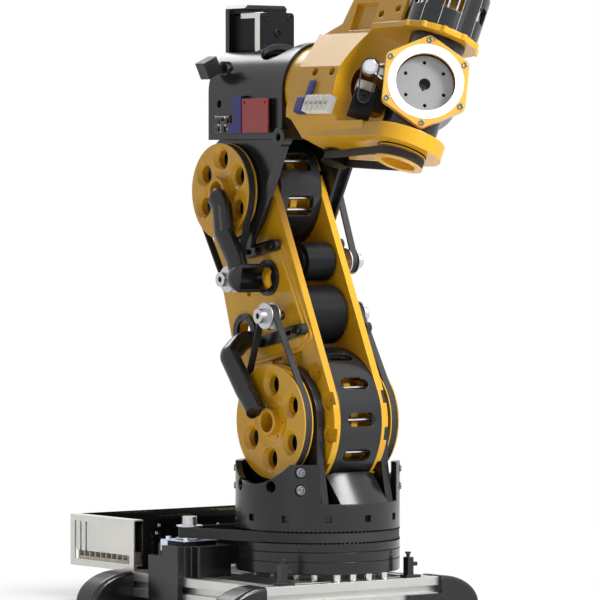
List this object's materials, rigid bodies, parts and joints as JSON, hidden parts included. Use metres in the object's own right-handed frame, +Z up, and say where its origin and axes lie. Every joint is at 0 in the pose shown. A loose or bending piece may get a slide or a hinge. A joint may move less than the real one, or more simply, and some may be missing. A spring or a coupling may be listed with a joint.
{
  "type": "robot arm",
  "caption": "Belt-driven desktop robot arm with a slotted-beam base, open pulleys, a twin-plate lower arm, a forked forearm and a lit wrist with a tool flange.",
  "frame": {"origin": "on the yaw axis, at the surface that the feet stand on", "axes": "+Z up along the yaw axis, +X towards the front of the arm, +Y to the arm's left as seen from its front"},
  "size_m": [0.4869, 0.322, 0.6356],
  "materials": {
    "yellow_print": "3-D printed, fine layer lines",
    "black_print": "3-D printed, fine layer lines",
    "grey_print": "3-D printed, fine layer lines",
    "blue_print": "3-D printed, fine layer lines",
    "white_plastic": "moulded, smooth",
    "light_diffuser": "milky, even",
    "extruded_aluminium": "drawn and anodised, satin",
    "cast_aluminium": "machined, satin",
    "sheet_steel": "zinc plated, folded",
    "black_sheet": "fine powder coat",
    "polished_steel": "ground, bright",
    "motor_black": "satin paint over laminations",
    "belt_rubber": "moulded, matt",
    "circuit_board": "solder-masked laminate"
  },
  "bodies": {
    "base": {"frame_beams": "extruded_aluminium", "corner_feet": "black_print", "supply_case": "sheet_steel", "supply_cover": "black_sheet", "supply_board": "black_print", "base_standoffs": "polished_steel", "base_plate": "black_print", "base_ring": "black_print", "yaw_bearing": "polished_steel", "cable_hooks": "black_print", "yaw_motor": "motor_black", "yaw_motor_holder": "black_print", "yaw_belt": "belt_rubber"},
    "yaw_drive": {"yaw_drive_pulley": "cast_aluminium"},
    "turret": {"turret_pulley": "black_print", "turret_housing": "black_print", "shoulder_pulleys": "yellow_print", "shoulder_tube": "yellow_print"},
    "lower_arm": {"left_side_plate": "yellow_print", "right_side_plate": "yellow_print", "shoulder_drum": "black_print", "elbow_drum": "black_print", "drum_cores": "yellow_print", "drum_rods": "polished_steel", "arm_motors": "motor_black", "cable_guides": "black_print", "arm_belts": "belt_rubber", "belt_tensioners": "black_print", "joint_bearings": "polished_steel"},
    "shoulder_drive": {"shoulder_drive_pulleys": "cast_aluminium"},
    "left_elbow_drive": {"left_elbow_drive_pulley": "cast_aluminium"},
    "right_elbow_drive": {"right_elbow_drive_pulley": "cast_aluminium"},
    "forearm_housing": {"forearm_housing": "black_print", "elbow_pulleys": "yellow_print", "elbow_tube": "yellow_print", "housing_braces": "black_print", "roll_motor": "motor_black", "roll_motor_bracket": "black_print", "roll_belt": "belt_rubber", "roll_bearings": "polished_steel", "driver_boards": "circuit_board", "board_clips": "blue_print", "rear_sensor": "black_print"},
    "roll_drive": {"roll_drive_pulley": "cast_aluminium"},
    "forearm": {"roll_shaft": "yellow_print", "forearm_fork": "yellow_print", "wrist_bearings": "polished_steel", "wrist_drum": "black_print", "wrist_drum_core": "yellow_print", "wrist_motor": "motor_black", "wrist_belt": "belt_rubber", "terminal_block": "white_plastic"},
    "wrist_drive": {"wrist_drive_pulley": "cast_aluminium"},
    "hand": {"hand_housing": "black_print", "hand_bezel": "yellow_print", "ring_light": "light_diffuser", "wrist_pulley": "yellow_print", "hand_motor": "motor_black", "hand_lever": "cast_aluminium"},
    "flange": {"tool_flange": "cast_aluminium"}
  },
  "joints": [
    {"name": "yaw", "type": "hinge", "parent": "base", "child": "turret", "pos_m": [0, 0, 0.1], "axis": [0, 0, 1], "range_deg": [-160, 160]},
    {"name": "shoulder", "type": "hinge", "parent": "turret", "child": "lower_arm", "pos_m": [0, 0, 0.189], "axis": [0, 1, 0], "range_deg": [-30, 50]},
    {"name": "elbow", "type": "hinge", "parent": "lower_arm", "child": "forearm_housing", "pos_m": [-0.0872, 0, 0.42223], "axis": [0, 1, 0], "range_deg": [-60, 30]},
    {"name": "roll", "type": "hinge", "parent": "forearm_housing", "child": "forearm", "pos_m": [0, 0, 0.52423], "axis": [1, 0, 0], "range_deg": [-170, 170]},
    {"name": "wrist_pitch", "type": "hinge", "parent": "forearm", "child": "hand", "pos_m": [0.172, 0, 0.52423], "axis": [0, 0.3859, 0.9225], "range_deg": [-100, 100]},
    {"name": "tool_turn", "type": "hinge", "parent": "hand", "child": "flange", "pos_m": [0.172, 0, 0.52423], "axis": [0.8261, -0.5199, 0.2175], "continuous": true},
    {"name": "yaw_drive", "type": "hinge", "parent": "base", "child": "yaw_drive", "pos_m": [-0.081, -0.103, 0.07], "axis": [0, 0, 1], "range_deg": [-1400, 1400]},
    {"name": "shoulder_drive", "type": "hinge", "parent": "lower_arm", "child": "shoulder_drive", "pos_m": [-0.01, 0, 0.29597], "axis": [0, 1, 0], "range_deg": [-400, 400]},
    {"name": "left_elbow_drive", "type": "hinge", "parent": "lower_arm", "child": "left_elbow_drive", "pos_m": [-0.07502, 0, 0.33198], "axis": [0, 1, 0], "range_deg": [-300, 180]},
    {"name": "right_elbow_drive", "type": "hinge", "parent": "lower_arm", "child": "right_elbow_drive", "pos_m": [-0.01974, 0, 0.3503], "axis": [0, 1, 0], "range_deg": [-300, 180]},
    {"name": "roll_drive", "type": "hinge", "parent": "forearm_housing", "child": "roll_drive", "pos_m": [-0.125, 0, 0.58523], "axis": [1, 0, 0], "range_deg": [-490, 490]},
    {"name": "wrist_drive", "type": "hinge", "parent": "forearm", "child": "wrist_drive", "pos_m": [0.067, -0.02701, 0.45965], "axis": [0, 0.3859, 0.9225], "range_deg": [-240, 240]}
  ],
  "couplings": [
    {"joint": "yaw_drive", "follows": "yaw", "ratio": 8.4896},
    {"joint": "shoulder_drive", "follows": "shoulder", "ratio": -5.8021},
    {"joint": "left_elbow_drive", "follows": "elbow", "ratio": 4.8646},
    {"joint": "right_elbow_drive", "follows": "elbow", "ratio": 4.8646},
    {"joint": "roll_drive", "follows": "roll", "ratio": 2.8125},
    {"joint": "wrist_drive", "follows": "wrist_pitch", "ratio": 2.3438}
  ]
}
